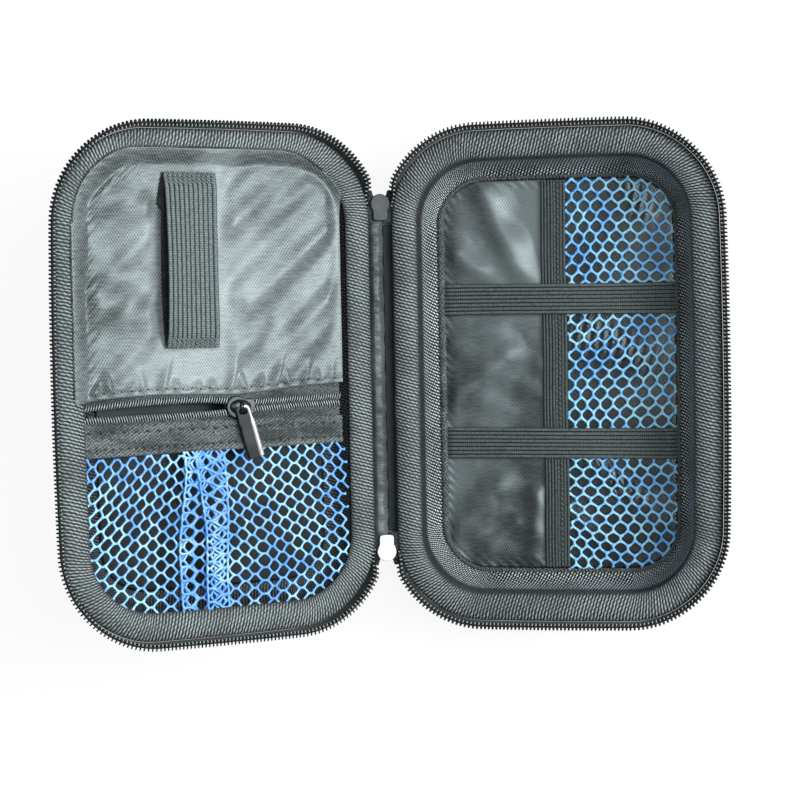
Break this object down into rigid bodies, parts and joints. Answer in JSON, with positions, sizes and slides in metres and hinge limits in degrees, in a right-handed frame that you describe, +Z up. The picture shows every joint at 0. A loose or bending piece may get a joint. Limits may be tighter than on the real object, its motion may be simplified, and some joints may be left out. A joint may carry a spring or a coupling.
{
  "type": "glucose meter case",
  "caption": "Zip-round hard travel case for a glucose meter kit, opened flat: deep tray with mesh pocket and elastic straps, shallow lid with zip pocket, loop and net",
  "frame": {"origin": "centre of the flat underside of the deep half, which stands on the table", "axes": "+Z up from the table, +X from the hinged side of the deep half toward its free side (the opened lid lies toward -X), +Y along the hinge away from a viewer who has the lid at the left"},
  "size_m": [0.2521, 0.2054, 0.1195],
  "materials": {
    "shell_cloth": "matte",
    "rim_binding": "matte",
    "zip_tape": "matte",
    "inner_lining": "matte",
    "header_webbing": "matte",
    "coil_nylon": "satin",
    "light_satin": "satin",
    "dark_satin": "satin",
    "blue_net": "matte",
    "woven_elastic": "matte",
    "tack_thread": "matte",
    "slider_metal": "satin"
  },
  "bodies": {
    "base": {"base_shell": "shell_cloth", "base_inner_lining": "inner_lining", "base_rim_binding": "rim_binding", "base_zip_tape": "zip_tape", "base_zip_coil": "coil_nylon", "base_pocket_panel": "dark_satin", "base_mesh_net": "blue_net", "base_centre_tape": "woven_elastic", "base_elastic_band_upper": "woven_elastic", "base_elastic_band_lower": "woven_elastic"},
    "spine": {"hinge_spine": "dark_satin", "rear_slider_body": "slider_metal", "front_slider_body": "slider_metal"},
    "lid": {"lid_shell": "shell_cloth", "lid_inner_lining": "inner_lining", "lid_rim_binding": "rim_binding", "lid_zip_tape": "zip_tape", "lid_zip_coil": "coil_nylon", "lid_satin_panel": "light_satin", "lid_elastic_loop": "woven_elastic", "loop_bar_tack_top": "tack_thread", "loop_bar_tack_bottom": "tack_thread", "pocket_zip_tape_upper": "zip_tape", "pocket_zip_tape_lower": "zip_tape", "pocket_zip_coil_upper": "coil_nylon", "pocket_zip_coil_lower": "coil_nylon", "lid_net_header": "header_webbing", "lid_mesh_net": "blue_net"},
    "rear_pull": {"rear_slider_pull": "slider_metal"},
    "front_pull": {"front_slider_pull": "slider_metal"},
    "pocket_slider": {"pocket_slider_body": "slider_metal"},
    "pocket_pull": {"pocket_slider_pull": "slider_metal"}
  },
  "joints": [
    {"name": "spine_hinge", "type": "hinge", "parent": "base", "child": "spine", "pos_m": [-0.066, 0, 0.032], "axis": [0, 1, 0], "range_deg": [-18.5, 71.5]},
    {"name": "lid_hinge", "type": "hinge", "parent": "spine", "child": "lid", "pos_m": [-0.07454, 0, 0.03486], "axis": [0, 1, 0], "range_deg": [-18.5, 71.5]},
    {"name": "rear_pull_hinge", "type": "hinge", "parent": "spine", "child": "rear_pull", "pos_m": [-0.07162, 0.07, 0.0294], "axis": [0.9483, 0, -0.3173], "range_deg": [-75, 75]},
    {"name": "front_pull_hinge", "type": "hinge", "parent": "spine", "child": "front_pull", "pos_m": [-0.07162, -0.07, 0.0294], "axis": [0.9483, 0, -0.3173], "range_deg": [-75, 75]},
    {"name": "pocket_slider_travel", "type": "slide", "parent": "lid", "child": "pocket_slider", "axis": [0.7986, 0, -0.6018], "range_m": [-0.056, 0.034]},
    {"name": "pocket_pull_hinge", "type": "hinge", "parent": "pocket_slider", "child": "pocket_pull", "pos_m": [-0.12103, -0.0094, 0.0687], "axis": [-0.7505, -0.342, 0.5655], "range_deg": [0, 150]}
  ],
  "couplings": [
    {"joint": "lid_hinge", "follows": "spine_hinge", "ratio": 1}
  ]
}
